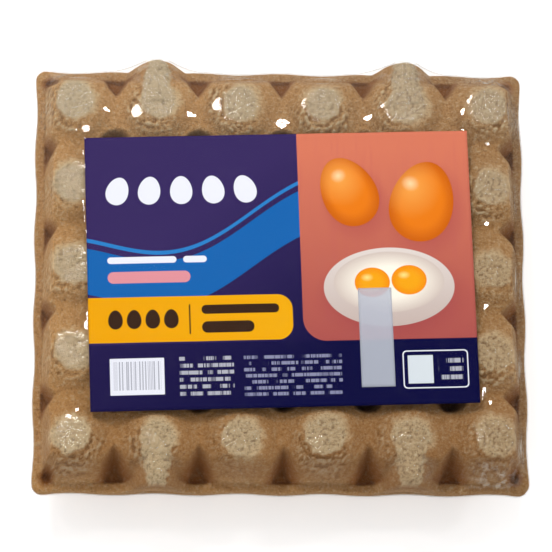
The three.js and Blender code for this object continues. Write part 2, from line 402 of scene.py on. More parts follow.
class Noise:
    """Seeded smooth noise between about -1 and 1 at any point in space."""

    def __init__(self, seed):
        chance = np.random.default_rng(seed)
        self.order = chance.permutation(256)
        arrows = chance.normal(size=(256, 3))
        self.arrows = arrows / np.linalg.norm(arrows, axis=1, keepdims=True)

    def arrow(self, cell):
        mixed = self.order[cell[..., 0] & 255]
        mixed = self.order[(mixed + cell[..., 1]) & 255]
        return self.arrows[self.order[(mixed + cell[..., 2]) & 255]]

    def __call__(self, x, y, z, size):
        place = np.stack(np.broadcast_arrays(x, y, z), -1) / size
        cell = np.floor(place).astype(int)
        part = place - cell
        soft = part ** 3 * (part * (part * 6 - 15) + 10)
        total = 0
        for corner in itertools.product((0, 1), repeat=3):
            weight = np.where(np.array(corner) == 1, soft, 1 - soft).prod(-1)
            total = total + weight * (self.arrow(cell + corner) * (part - corner)).sum(-1)
        return total * NOISE_GAIN


print("two and two join to", smooth_min(2.0, 2.0, ROUNDING), "with the tray's rounding")

# %% [markdown]
# Real trays aren't exact. Each cup has its own size and lean, the flat ends are crumbly and
# cracked, and on one side of many cups the wet pulp tore into wrinkles as it left the mould.
# These are small heights added to the formulas, from noise with a fixed seed, so that every
# run gives the same tray.

# %% One tray as a surface of heights


class PulpTray:
    """A tray's height over its flat side, with the accidents of its own moulding."""

    def __init__(self, seed, eared):
        self.noise = Noise(seed)
        self.eared = eared
        chance = np.random.default_rng(seed + 100)
        cups = (COLUMNS, ROWS)
        self.growth = chance.uniform(-0.8, 0.7, cups)
        self.sunk = chance.uniform(1.5, 2.2, cups)
        self.torn = chance.uniform(0.25, 1.0, cups)
        self.torn_way = np.radians(chance.normal(-125, 35, cups))
        self.shift_x = chance.uniform(-0.7, 0.7, cups)
        self.shift_y = chance.uniform(-0.7, 0.7, cups)

    def from_cup(self, x, y):
        """Distance and direction from the nearest cup's middle, and the cup's numbers."""
        cup_x, column = nearest(x, PITCH_X, COLUMNS)
        cup_y, row = nearest(y, PITCH_Y, ROWS)
        away_x = x - cup_x - self.shift_x[column, row]
        away_y = y - cup_y - self.shift_y[column, row]
        return np.hypot(away_x, away_y), np.arctan2(away_y, away_x), column, row

    def notch(self, aside, inset, reach):
        """How near a point is to a notch's triangular mouth: 0 at its base, 1 at its edge."""
        return aside / NOTCH_HALF_WIDTH + np.maximum(0, inset - NOTCH_BASE) / reach

    def pits(self, x, y):
        """The height of the pits and notches, and the painted shade for them."""
        away_x = np.abs(x - nearest(x, PITCH_X, COLUMNS - 1)[0])
        away_y = np.abs(y - nearest(y, PITCH_Y, ROWS - 1)[0])
        inset_x = HALF_X - np.abs(x)
        inset_y = HALF_Y - np.abs(y)
        inner = np.maximum(0, np.hypot(away_x, away_y) - PIT_RADIUS) * PIT_SLOPE
        side_reach = np.where(x < 0, LEFT_NOTCH_REACH, RIGHT_NOTCH_REACH)
        mouth = np.minimum(
            self.notch(away_y, inset_x, side_reach),
            self.notch(away_x, inset_y, END_NOTCH_REACH),
        )
        share = np.maximum(0, mouth - NOTCH_FLOOR_SHARE) / (1 - NOTCH_FLOOR_SHARE)
        corner = np.hypot(inset_x - CORNER_PIT_INSET, inset_y - CORNER_PIT_INSET)
        corner = np.maximum(0, corner - CORNER_PIT_RADIUS) * CORNER_PIT_SLOPE
        inset = np.minimum(inset_x, inset_y)
        # Painted shade: dark at the notches' inner ends and in the pits, where shade falls.
        notch_shade = (1 - ease(mouth, 0.55, 1.1)) * ease(inset, NOTCH_BASE - 1.5, NOTCH_BASE + 0.5)
        hole_shade = 1 - ease(np.minimum(inner, corner), 1, 22)
        height = np.minimum.reduce([inner, share * (SADDLE_HEIGHT - PIT_FLOOR), corner])
        return height + PIT_FLOOR, np.maximum(notch_shade * 0.8, hole_shade)

    def wall(self, x, y):
        rise_x = limit((HALF_X - np.abs(x) - RIM_WIDTH) / (EDGE_X - RIM_WIDTH)) ** 0.8
        rise_y = limit((HALF_Y - np.abs(y) - RIM_WIDTH) / (EDGE_Y - RIM_WIDTH)) ** 0.8
        return between(RIM_HEIGHT, TRAY_HEIGHT, np.minimum(rise_x, rise_y))

    def ear(self, x, y):
        """The height of the ridges out to the rim, and where their flat top is."""
        beyond = (np.abs(y) - LAST_Y) / (HALF_Y - LAST_Y)
        aside = np.abs(x - nearest(x, EAR_REACH, 2)[0])
        past = aside - between(EAR_WIDTH_AT_CAP, EAR_WIDTH_AT_RIM, beyond) / 2
        frayed = past + 1.6 * self.noise(x, y, 12.3, 3.0) + 1.2 * self.noise(x, y, 15.8, 7)
        flank = smooth_max(past, 0 * past, EAR_SHOULDER) * EAR_SLOPE
        tip = ease(beyond, 0.75, 1.05) * 2.5
        top = (1 - ease(frayed, -0.5, 1.0)) * (beyond > 0)
        shown = (beyond > 0) & self.eared
        return np.where(shown, TRAY_HEIGHT - 0.4 - beyond - flank - tip, 0), top * shown

    def form(self, x, y):
        """The smooth form, and for each point its shares of a flat end, an ear and painted pit shade."""
        warp_x = 1.1 * self.noise(x, y, 3.1, 26) + 0.35 * self.noise(x, y, 9.7, 7)
        warp_y = 1.1 * self.noise(x, y, 57.3, 26) + 0.35 * self.noise(x, y, 71.9, 7)
        x = x + warp_x
        y = y + warp_y
        distance, way, column, row = self.from_cup(x, y)
        radius = distance - self.growth[column, row]
        fall = ease(radius, CAP_RADIUS - 1, PITCH_X / 2)
        caps = TRAY_HEIGHT - self.sunk[column, row]
        domes = between(caps, SADDLE_HEIGHT, fall ** 1.2)
        walled = smooth_min(domes, self.wall(x, y), CAP_SHOULDER)
        pits, pit_shade = self.pits(x, y)
        pitted = smooth_min(walled, pits, ROUNDING)
        ear, ear_top = self.ear(x, y)
        inset = np.minimum(HALF_X - np.abs(x), HALF_Y - np.abs(y))
        rim = RIM_HEIGHT - np.maximum(0, inset - RIM_WIDTH) * 3
        height = np.maximum.reduce([smooth_max(pitted, ear, 2), rim, np.full_like(x, PIT_FLOOR)])
        cap = 1 - ease(radius, CAP_RADIUS - 1.5, CAP_RADIUS + 1.5)
        return height, cap, ear_top, pit_shade, radius, way, column, row

    def crumbs(self, x, y):
        """The clumps of a flat end, and its whole relief with the fine crumbs and cracks."""
        noise = self.noise
        clump = noise(x, y, 5.5, CLUMP_SIZE)
        fine = noise(x, y, 8.5, CRUMB_SIZE)
        crumb = 0.4 * clump + 0.6 * fine + 0.5 * noise(x, y, 4.4, 6)
        crack = limit(1 - np.abs(noise(x, y, 1.5, CRACK_SPACING)) / 0.13)
        crack = crack * ease(noise(x, y, 7.5, 7), -0.2, 0.2)
        return clump, crumb - 0.65 * crack

    def surface(self, x, y):
        """The height with its crumbs, cracks and tears, and the shares that the finish reads."""
        height, disc, ear_top, pit_shade, radius, way, column, row = self.form(x, y)
        cap = np.maximum(disc, ear_top)
        noise = self.noise
        clump, crumbs = self.crumbs(x, y)
        ragged = radius + 1.8 * noise(x, y, 3.7, 6) + 1.0 * clump
        facing = limit(np.cos(way - self.torn_way[column, row]) * 0.8 + 0.35)
        facing = facing * self.torn[column, row]
        cliff = (1 - ease(ragged, CAP_RADIUS - 0.5, CAP_RADIUS + 1.5)) * (0.1 + facing)
        ledge = np.exp(-((ragged - CAP_RADIUS - 1.8) / 1.2) ** 2) * (1 - cap) * (0.05 + facing)
        band = ease(radius, CAP_RADIUS, CAP_RADIUS + 1.5) * (1 - ease(radius, 16, 24))
        torn = facing * band * (1 - cap)
        along = way * CAP_RADIUS / WRINKLE_LENGTH + 40 * column + 9 * row
        wrinkle = np.abs(noise(along, radius + 1.8 * clump, height * 0.3, WRINKLE_PITCH))
        fold = 1 - 2.6 * wrinkle
        fray = noise(x, y, height, FRAY_SIZE)
        rough = cap * crumbs + 0.8 * cliff - 0.8 * ledge
        rough = rough + torn * (1.5 * fold + 1.1 * fray)
        low = ease(height, RIM_HEIGHT - 0.5, RIM_HEIGHT + 8)
        lumps = 0.5 * noise(x, y, 6.6, 15) * low + 0.3 * noise(x, y, 2.2, 3.6) + 0.25 * fray
        rough = rough + (1 - cap) * lumps
        spread = CAP_RADIUS + 0.4 + 6 * (1 - limit(facing * 2.5))
        pale = np.maximum(1 - ease(ragged, CAP_RADIUS - 0.8, spread), ear_top)
        top = TRAY_HEIGHT - 0.05
        return np.minimum(height + rough, top), cap, torn, pit_shade, pale, rough


def in_plan(x, y, outwards=0.0):
    """Rounds the outline's corners and lets its edges swell a little beside each notch."""
    inset = np.stack([HALF_X - np.abs(x), HALF_Y - np.abs(y)])
    past = np.maximum(0, CORNER_RADIUS - inset)
    both = (past > 0).all(axis=0)
    reach = np.hypot(*past)
    pull = np.where(both, 1 - past.max(axis=0) / np.where(both, reach, 1), 0)
    place = np.stack([np.abs(x), np.abs(y)]) - past * pull
    along = np.stack([y / PITCH_Y, (x - PITCH_X / 2) / PITCH_X])
    edge = limit(1 - inset / RIM_WIDTH)
    away = limit((inset[::-1] - CORNER_RADIUS) / RIM_WIDTH)
    place -= RIM_WAVE * (1 + np.cos(2 * np.pi * along)) * edge * away
    place += outwards * edge
    return place[0] * np.sign(x), place[1] * np.sign(y)


upper = PulpTray(seed=11, eared=True)
lower = PulpTray(seed=23, eared=False)
heights = upper.surface(*np.meshgrid(np.linspace(-120, 120, 60), np.linspace(-100, 100, 50)))[0]
print("heights over the upper tray, mm:", round(heights.min(), 1), "to", round(heights.max(), 1))

# %% [markdown]
# A surface of heights becomes a mesh by joining each grid point to its neighbours. The tray
# is closed by a rolled edge, which is a few rings of points down the outside of the rim, and by
# a flat face where the two trays meet. Points are held in arrays, because loops over a hundred
# thousand points are slow in Python.

# %% Grids, rings and meshes
TRAY_STEP = 0.95
EDGE_ROUNDING = 1.3
EDGE_ROLL = ((0.55, 0.0), (0.25, 0.05), (0.08, 0.3), (0.0, 0.9))


def grid_lines(half, step):
    return np.linspace(-half, half, round(2 * half / step) + 1)


def grid_faces(across, along):
    """Quads over a grid of points, anticlockwise from above."""
    number = np.arange(across * along).reshape(across, along)
    corners = [number[:-1, :-1], number[1:, :-1], number[1:, 1:], number[:-1, 1:]]
    return np.stack(corners, -1).reshape(-1, 4)


def grid_ring(across, along):
    """The numbers of a grid's outermost points, anticlockwise from above."""
    number = np.arange(across * along).reshape(across, along)
    sides = [number[:-1, 0], number[-1, :-1], number[:0:-1, -1], number[0, :0:-1]]
    return np.concatenate(sides)


def belt_faces(low, high):
    """Quads between two rings of as many points, the first one lower."""
    return np.stack([low, np.roll(low, -1), np.roll(high, -1), high], -1)


def inwards(points):
    """The direction into the outline at each point of a ring, level."""
    along = np.roll(points, -1, 0) - np.roll(points, 1, 0)
    level = np.stack([-along[:, 1], along[:, 0], np.zeros(len(along))], -1)
    return level / np.linalg.norm(level, axis=1, keepdims=True)


def make_piece(name, points, faces, finish, nodes, shares=None):
    """A smooth mesh that stands for CAD nodes. Points are in millimetres."""
    mesh = bpy.data.meshes.new(name)
    mesh.from_pydata((np.asarray(points) * MM).tolist(), [], [list(face) for face in faces])
    mesh.polygons.foreach_set("use_smooth", [True] * len(mesh.polygons))
    for share, values in (shares or {}).items():
        layer = mesh.attributes.new(share, "FLOAT", "POINT")
        layer.data.foreach_set("value", np.asarray(values, dtype=np.float32))
    mesh.materials.append(finish)
    thing = bpy.data.objects.new(name, mesh)
    bpy.context.scene.collection.objects.link(thing)
    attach(thing, "root")
    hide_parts(*nodes)
    print(name, len(points), "points,", sum(len(face) - 2 for face in faces), "triangles")


def standing_out(height, reach=2):
    """How far each grid point stands above the mean of the points around it."""
    padded = np.pad(height, reach, mode="edge")
    total = 0
    for i, j in itertools.product(range(2 * reach + 1), repeat=2):
        total = total + padded[i:i + height.shape[0], j:j + height.shape[1]]
    return height - total / (2 * reach + 1) ** 2


def tray_mesh(tray):
    """Points, faces and shares of one tray, standing on its flat side."""
    xs = grid_lines(HALF_X, TRAY_STEP)
    ys = grid_lines(HALF_Y, TRAY_STEP)
    x, y = np.meshgrid(xs, ys, indexing="ij")
    height, cap, torn, pit_shade, pale, rough = tray.surface(x, y)
    relief = standing_out(rough)
    plan_x, plan_y = in_plan(x, y)
    inset = np.minimum(HALF_X - np.abs(x), HALF_Y - np.abs(y))
    short = np.maximum(0, EDGE_ROUNDING - inset)
    height = height - (EDGE_ROUNDING - np.sqrt(EDGE_ROUNDING ** 2 - short ** 2))
    top = np.stack([plan_x, plan_y, height], -1).reshape(-1, 3)
    faces = [grid_faces(len(xs), len(ys))]
    ring = grid_ring(len(xs), len(ys))
    layers = [top]
    last = ring
    rim = top[ring]
    into = inwards(rim)
    for height_left, depth in EDGE_ROLL:
        belt = rim + into * depth
        belt[:, 2] = rim[:, 2] * height_left
        number = np.arange(len(ring)) + sum(len(layer) for layer in layers)
        faces.append(belt_faces(number, last))
        layers.append(belt)
        last = number
    points = np.concatenate(layers)
    extra = len(points) - len(top)
    kept = {"cap": cap, "torn": torn, "pit_shade": pit_shade, "pale": pale, "relief": relief}
    shares = {name: np.append(share.ravel(), np.zeros(extra)) for name, share in kept.items()}
    quads = np.concatenate(faces).tolist()
    return points, quads + [last[::-1].tolist()], shares


# %% [markdown]
# Pulp is a matt mass of grey and brown fibres. Its colour changes with the form: the flat ends
# are dry and pale and the slopes warmer, and painted shade darkens the pits. The finish reads the
# shares that the mesh keeps for this, paints shade into the hollows between crumbs and light onto
# their tops, adds mottling and specks, and bends the normal for fibres that are too fine for the
# mesh. Painted light pales the caps at the back left, towards the key lamp, and shifts the colour
# from warm on the left to greyer on the right, and painted shade darkens the front slopes.

# %% Pulp finish


def pulp_finish(name):
    """Matt fibrous pulp, coloured by the mesh's shares, with painted shade and painted light."""
    paint = Finish(name)
    place = paint.place()
    x, y, z = paint.axes(place)
    cap = paint.attribute("cap")
    torn = paint.attribute("torn")
    pit_shade = paint.attribute("pit_shade")
    dried = paint.attribute("pale")
    relief = paint.attribute("relief")
    blotch = paint.noise(place, 22, 3)
    mottle = paint.noise(place, 3.2, 4, 0.65)
    fibre = paint.noise(paint.stretched(place, (0.6, 1.7, 0.6)), 1.0, 3, 0.7, 0.6)
    speck = paint.noise(place, 0.85, 2, 0.8)
    # Painted light colour: warmer on the left and greyer on the right, broken by large random blotches.
    cool_light_share = (x / 300 + 0.5 + (blotch - 0.5) * 0.5).clear()
    grit = paint.noise(place, 1.5, 3, 0.75)
    slope = paint.mix(tint("CF9A5D"), tint("B88A57"), cool_light_share)
    pale = paint.mix(tint("E5CA9E"), tint("D6B88E"), cool_light_share)
    # Painted shade in the pits, broken by mottling.
    colour = paint.mix(slope, tint("8E4F18"), (pit_shade * 1.1 + (mottle - 0.5) * 0.3).clear() * 0.85)
    dry = (dried * 1.1 + torn * 0.3 + (mottle - 0.5) * 1.2 - pit_shade * 0.5).clear()
    colour = paint.mix(colour, pale, dry * 0.85)
    # Painted light: the caps pale towards the key lamp at the back left.
    lamp_side_light = (0.5 - x / 250).clear() * 0.5 + ((y + 20) / 130).clear() * 0.5
    # Painted shade on the front slopes of the upper tray, away from the key lamp.
    shady = (y / -60 - 0.9).clear() * ((z - 48) / 8).clear() * (1 - dried).clear()
    coats = (
        ("85572A", ((0.5 - mottle) * 2.6).clear() * 0.45),
        ("E2D3AE", ((mottle - 0.55) * 4).clear() * 0.35),
        ("5A4024", ((0.42 - speck) * 7).clear() * 0.5),
        ("6B3A14", ((0.45 - grit) * 8).clear() * (cap * 0.25 + 0.5)),
        ("F0E4C4", ((grit - 0.55) * 8).clear() * (cap * 0.3 + 0.3)),
        # Painted shade and light: hollows between crumbs darken and their tops pale, caps pale towards
        # the back left lamp, front slopes and pits darken.
        ("6E421C", (relief * -2.1 - 0.12).clear() * 0.55),
        ("EADBB6", (relief * 2.0 - 0.2).clear() * 0.5),
        ("F3E3C0", lamp_side_light * (cap * 0.28 + 0.03)),
        ("8A5527", shady * 0.35),
        ("9C5A1B", pit_shade * 0.5),
    )
    for code, share in coats:
        colour = paint.mix(colour, tint(code), share)
    grain = fibre * 0.7 + mottle * 0.9 + speck * 0.7 * (cap * 0.8 + 0.6) + grit * 0.6
    return paint.show(paint.skin({
        "Base Color": colour,
        "Roughness": 0.92,
        "Specular IOR Level": 0.25,
        "Normal": paint.bump(grain, 1.0, 1.8),
    }))


# %% Both trays
upper_points, upper_faces, upper_shares = tray_mesh(upper)
lower_points, lower_faces, lower_shares = tray_mesh(lower)
upper_points = upper_points + [0, 0, UPPER_FLOOR]
lower_points = lower_points * [1, -1, -1] + [0, 0, LOWER_CEILING]
make_piece(
    "upper_pulp_tray", upper_points, upper_faces, pulp_finish("upper_pulp"),
    ["upper_tray"], upper_shares,
)
make_piece(
    "lower_pulp_tray", lower_points, lower_faces, pulp_finish("lower_pulp"),
    ["lower_tray"], lower_shares,
)

# %% [markdown]
# ## The label
# The label is a sheet of coated paper held on the upper cups by the film. It is nearly flat,
# and dips a little where no cup carries it. A flat box would look like tin, so it is a
# fine grid with a few tenths of a millimetre of waviness, and with a thickness.

# %% Sizes of the label and its sticker, in millimetres
LABEL_BOX = [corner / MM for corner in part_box("label")]
STICKER_BOX = [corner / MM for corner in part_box("clear_sticker")]
LABEL_LENGTH = 230
LABEL_WIDTH = 167
LABEL_TURN = math.radians(1.7)
LABEL_MIDDLE = (LABEL_BOX[0] + LABEL_BOX[1]) / 2
LABEL_THICKNESS = 0.2
LABEL_DIP = 0.5
STICKER_LENGTH = 20
STICKER_WIDTH = 60
STICKER_MIDDLE = (STICKER_BOX[0] + STICKER_BOX[1]) / 2
STICKER_THICKNESS = 0.1
STICKER_GAP = 0.05
SHEET_STEP = 2.0
paper_noise = Noise(5)


def label_top(x, y):
    """The height of the label's printed face at a point of the pack."""
    from_x = np.abs(x - nearest(x, PITCH_X, COLUMNS)[0]) / (PITCH_X / 2)
    from_y = np.abs(y - nearest(y, PITCH_Y, ROWS)[0]) / (PITCH_Y / 2)
    between_cups = limit(np.hypot(from_x, from_y) - 0.3)
    wave = 0.12 * paper_noise(x, y, 0.5, 45)
    return LABEL_BOX[1].z - 0.15 - LABEL_DIP * between_cups ** 1.5 - np.abs(wave)


def on_label(u, v):
    """Points of the label's own plane turned into the pack's."""
    x = LABEL_MIDDLE.x + u * math.cos(LABEL_TURN) - v * math.sin(LABEL_TURN)
    y = LABEL_MIDDLE.y + u * math.sin(LABEL_TURN) + v * math.cos(LABEL_TURN)
    return x, y


def sheet_mesh(length, width, middle_u, middle_v, thickness, lift):
    """A thin closed sheet that lies on the label's plane, and its place on that plane."""
    us = middle_u + grid_lines(length / 2, SHEET_STEP)
    vs = middle_v + grid_lines(width / 2, SHEET_STEP)
    u, v = np.meshgrid(us, vs, indexing="ij")
    x, y = on_label(u, v)
    z = label_top(x, y) + lift
    top = np.stack([x, y, z], -1).reshape(-1, 3)
    bottom = top - [0, 0, thickness]
    faces = grid_faces(len(us), len(vs))
    ring = grid_ring(len(us), len(vs))
    under = faces[:, ::-1] + len(top)
    edge = belt_faces(ring + len(top), ring)
    shares = {"print_u": np.tile(u.ravel(), 2), "print_v": np.tile(v.ravel(), 2)}
    return np.concatenate([top, bottom]), np.concatenate([faces, under, edge]).tolist(), shares


# %% [markdown]
# The print is drawn by the material. Each field is a mask worked out from the distance to a
# simple shape: a rounded box, an oval or a wave. An image could hold the print, but masks stay
# sharp at any distance and every size in them is a number that can be read. The design is a
# plain one of this lesson's own: a wave, a row of small eggs, two eggs and a bowl.

# %% Masks for the print
EDGE_SOFTNESS = 0.25


class Print:
    """Shapes on a sheet, from the place in millimetres from its middle."""

    def __init__(self, paint):
        self.paint = paint
        self.u = paint.attribute("print_u")
        self.v = paint.attribute("print_v")

    def inside(self, distance):
        """1 where a distance to an edge is negative, 0 outside."""
        return (0.5 - distance / EDGE_SOFTNESS).clear()

    def box(self, left, right, low, high, radius=0.01):
        away_u = abs(self.u - (left + right) / 2) - ((right - left) / 2 - radius)
        away_v = abs(self.v - (low + high) / 2) - ((high - low) / 2 - radius)
        out_u = away_u.at_least(0.0)
        out_v = away_v.at_least(0.0)
        return self.inside((out_u * out_u + out_v * out_v).root() - radius)

    def turned(self, u, v, degrees):
        """The place seen from a point, turned."""
        c = math.cos(math.radians(degrees))
        s = math.sin(math.radians(degrees))
        du = self.u - u
        dv = self.v - v
        return du * c + dv * s, dv * c - du * s

    def oval(self, u, v, half_u, half_v, degrees=0.0, egg=0.0):
        """0 in the middle of an oval and 1 at its edge. An egg is wider at its low end."""
        across, along = self.turned(u, v, degrees)
        taper = 1 + along * (egg / half_v)
        across = across * taper / half_u
        along = along / half_v
        return (across * across + along * along).root()

    def filled(self, reach, half):
        """A mask from an oval's reach."""
        return self.inside((reach - 1) * half)


print("label, mm:", LABEL_LENGTH, "by", LABEL_WIDTH, "at", [round(c, 1) for c in LABEL_MIDDLE])

# %% [markdown]
# Each field of the print is a function that takes the colour so far and lays its own ink over
# it, as a press does, so the order of the calls is the order of printing.

# %% Inks and fields
INKS = {
    "navy": "07073E",
    "plum": "3A2B62",
    "blue": "1463AE",
    "light_blue": "2A7EC6",
    "coral": "D5785D",
    "deep_coral": "9E464A",
    "amber": "EFB00E",
    "brown": "3A2418",
    "white": "E9EBF5",
    "grey": "D6DEE4",
    "pink": "DE929B",
    "orange": "E87C14",
    "light_orange": "F5AE55",
    "dark_orange": "BE5408",
    "yolk": "F3A615",
    "bowl": "E2D8D2",
    "bowl_shade": "C4B2AB",
}
COLOURS = {name: tint(code) for name, code in INKS.items()}
PANEL_LEFT = 12
STRIP_TOP = -44
BAND_TOP = -15


def picture_egg(paint, drawing, colour, u, v, half_u, half_v, degrees):
    """A printed egg, lit from its upper left, with a soft shadow at its foot."""
    shadow = drawing.oval(u + 3, v - 5, half_u * 1.05, half_v * 1.0, degrees, 0.12)
    colour = paint.mix(colour, tint("A8484C"), ((1.25 - shadow) * 1.6).clear() * 0.55)
    body = drawing.oval(u, v, half_u, half_v, degrees, 0.12)
    glow = drawing.oval(u - half_u * 0.3, v + half_v * 0.35, half_u * 0.95, half_v * 0.8, degrees)
    shine = drawing.oval(u - half_u * 0.35, v + half_v * 0.45, half_u * 0.3, half_v * 0.2, degrees)
    shell = paint.mix(COLOURS["orange"], COLOURS["dark_orange"], ((body - 0.62) * 2.0).clear())
    shell = paint.mix(shell, COLOURS["light_orange"], (1 - glow).clear() * 0.75)
    shell = paint.mix(shell, tint("FFE2B4"), (1 - shine).clear() * 0.8)
    return paint.mix(colour, shell, drawing.filled(body, half_u))


def ground(paint, drawing):
    """Plum that deepens to navy, and a blue wave across it. The plum at the upper left is partly a
    painted reflection of the film's haze.
    """
    share = (0.52 - drawing.u / 190 - drawing.v / -150).clear()
    colour = paint.mix(COLOURS["navy"], COLOURS["plum"], share * 0.9)
    crest = (drawing.u / 27 + 0.6).sine() * 13 + drawing.u * 0.22
    wave = drawing.inside(drawing.v - crest - 34) * drawing.inside(crest - drawing.v + 6)
    colour = paint.mix(colour, COLOURS["blue"], wave)
    thin = drawing.inside(abs(drawing.v - crest - 39) - 1.2)
    return paint.mix(colour, COLOURS["light_blue"], thin)


def panel(paint, drawing, colour):
    """The coral field with two eggs and a bowl."""
    streak = paint.noise(paint.stretched(paint.place(), (1.6, 40, 40)), 1.0, 3, 0.6)
    field = paint.mix(COLOURS["deep_coral"], COLOURS["coral"], (drawing.v / 150 + 0.5).clear())
    field = paint.mix(field, tint("B4505A"), ((streak - 0.52) * 3).clear() * 0.35)
    field = picture_egg(paint, drawing, field, 42, 47, 16.5, 22, 24)
    field = picture_egg(paint, drawing, field, 86, 40, 19, 25, -16)
    shade = drawing.oval(66, -17, 42, 25)
    field = paint.mix(field, tint("9C4148"), ((1.15 - shade) * 2.4).clear() * 0.5)
    bowl = drawing.oval(64, -12, 39, 24)
    hollow = drawing.oval(64, -9, 33, 18.5)
    dish = paint.mix(COLOURS["bowl_shade"], COLOURS["bowl"], (drawing.v / 50 + 0.7).clear())
    field = paint.mix(field, dish, drawing.filled(bowl, 30))
    inside = paint.mix(tint("FBF4E6"), COLOURS["bowl_shade"], ((hollow - 0.5) * 1.6).clear())
    field = paint.mix(field, inside, drawing.filled(hollow, 25))
    for u, v in ((54, -9), (76, -8)):
        yolk = drawing.oval(u, v, 10.5, 9)
        drop = drawing.oval(u - 3, v + 3, 4, 2.6)
        tone = paint.mix(COLOURS["yolk"], tint("F28A10"), ((yolk - 0.55) * 2).clear())
        tone = paint.mix(tone, tint("FFE38A"), (1 - drop).clear())
        field = paint.mix(field, tone, drawing.filled(yolk, 9))
    edge = drawing.box(PANEL_LEFT, LABEL_LENGTH, STRIP_TOP, LABEL_WIDTH, 14)
    return paint.mix(colour, field, edge)


def small_eggs(paint, drawing, colour):
    """A row of five small pale eggs where a title would stand."""
    for k in range(5):
        reach = drawing.oval(-96 + 19 * k, 50, 6.6, 8.6, -18 + 9 * k, 0.12)
        colour = paint.mix(colour, COLOURS["white"], drawing.filled(reach, 6.6))
    return colour


def fine_print(paint, drawing, colour, left, right, low, high, pitch, ink):
    """Rows of thin broken strokes that stand for small print, with no letters."""
    row = (drawing.v - low) / pitch
    stroke = drawing.inside((abs(row.part() - 0.5) - 0.27) * pitch)
    spot = paint.node("CombineXYZ", None, {0: drawing.u / 5.5, 1: row.whole() * 3.7})
    words = ((paint.noise(spot, 1.0, 0) - 0.40) * 14).clear()
    letters = ((paint.noise(paint.stretched(spot, (0.16, 1, 1)), 1.0, 0) - 0.33) * 8).clear()
    return paint.mix(colour, ink, drawing.box(left, right, low, high) * stroke * words * letters)


def bars(paint, drawing, colour, ink, *boxes):
    """Bars of one ink, each given by its left, right, low and high edge and its rounding."""
    for box in boxes:
        colour = paint.mix(colour, COLOURS[ink], drawing.box(*box))
    return colour


def amber_band(paint, drawing, colour):
    """The amber band, with four dark eggs, a thin rule and two bars."""
    amber = paint.mix(COLOURS["amber"], tint("EAA304"), (0.5 - drawing.u / 200).clear())
    colour = paint.mix(colour, amber, drawing.box(-140, PANEL_LEFT - 6, STRIP_TOP + 1.5, BAND_TOP, 9))
    for k in range(4):
        reach = drawing.oval(-99 + 11 * k, (STRIP_TOP + BAND_TOP) / 2 + 1, 4.3, 5.8, 0, 0.12)
        colour = paint.mix(colour, COLOURS["brown"], drawing.filled(reach, 4.3))
    rule = (-55.5, -54.6, STRIP_TOP + 6, BAND_TOP - 5, 0.1)
    long_bar = (-48, -2, -26, -20.5, 2.7)
    short_bar = (-48, -17, -37.5, -30.5, 3.4)
    return bars(paint, drawing, colour, "brown", rule, long_bar, short_bar)


def bottom_strip(paint, drawing, colour):
    """The dark strip with pale fields and small print."""
    colour = bars(paint, drawing, colour, "navy", (-140, 140, -100, STRIP_TOP, 0.01))
    colour = bars(paint, drawing, colour, "white", (-103, -71, -74, -52, 0.4))
    rule = ((paint.noise(paint.node("CombineXYZ", None, {0: drawing.u}), 0.85, 0) - 0.47) * 12).clear()
    stripes = drawing.box(-101, -73, -71, -54) * rule
    colour = paint.mix(colour, COLOURS["navy"], stripes * 0.9)
    colour = fine_print(paint, drawing, colour, -62, -30, -76, -51, 4.2, COLOURS["white"])
    colour = fine_print(paint, drawing, colour, -24, 34, -77, -51, 3.7, tint("B9BCDD"))
    frame_line = drawing.box(70, 109, -74, -51, 2.5) - drawing.box(70.7, 108.3, -73.3, -51.7, 2.0)
    colour = paint.mix(colour, COLOURS["white"], frame_line.clear())
    colour = bars(paint, drawing, colour, "grey", (73, 88, -71, -54, 0.3))
    return fine_print(paint, drawing, colour, 91, 106, -70, -55, 5.0, COLOURS["white"])


def label_finish():
    """The whole print, from the ground up to the small print."""
    paint = Finish("printed_paper")
    drawing = Print(paint)
    colour = ground(paint, drawing)
    colour = small_eggs(paint, drawing, colour)
    white_bars = ((-103, -62, 5.5, 9.5, 2.0), (-58, -44, 5.5, 9.5, 2.0))
    colour = bars(paint, drawing, colour, "white", *white_bars)
    colour = bars(paint, drawing, colour, "pink", (-103, -54, -6.5, 0.5, 3.4))
    colour = panel(paint, drawing, colour)
    colour = amber_band(paint, drawing, colour)
    colour = bottom_strip(paint, drawing, colour)
    place = paint.place()
    worn = paint.noise(place, 9, 4)
    colour = paint.mix(colour, (0.6, 0.6, 0.65), ((worn - 0.55) * 2).clear() * 0.015)
    return paint.show(paint.skin({
        "Base Color": colour,
        "Roughness": 0.45,
        "Specular IOR Level": 0.03,
        "Normal": paint.bump(paint.noise(place, 3.5, 3), 0.12, 0.3),
    }))


points, faces, shares = sheet_mesh(LABEL_LENGTH, LABEL_WIDTH, 0, 0, LABEL_THICKNESS, 0)
make_piece("paper_label", points, faces, label_finish(), ["label"], shares)

# %% [markdown]
# The sticker is a strip of milky film on the label. It lets the print show through, so its
# finish is a pale surface with a plain share of see-through.

# %% The sticker


def sticker_finish():
    """A pale satin film that shows the print through it."""
    paint = Finish("milky_sticker")
    place = paint.place()
    return paint.show(paint.skin({
        "Base Color": tint("D5DBEA"),
        "Roughness": 0.38,
        "Alpha": 0.45,
        "Normal": paint.bump(paint.noise(place, 6, 2), 0.1, 0.3),
    }))


def off_label(x, y):
    """A point of the pack in the label's own plane."""
    dx = x - LABEL_MIDDLE.x
    dy = y - LABEL_MIDDLE.y
    c = math.cos(LABEL_TURN)
    s = math.sin(LABEL_TURN)
    return dx * c + dy * s, dy * c - dx * s


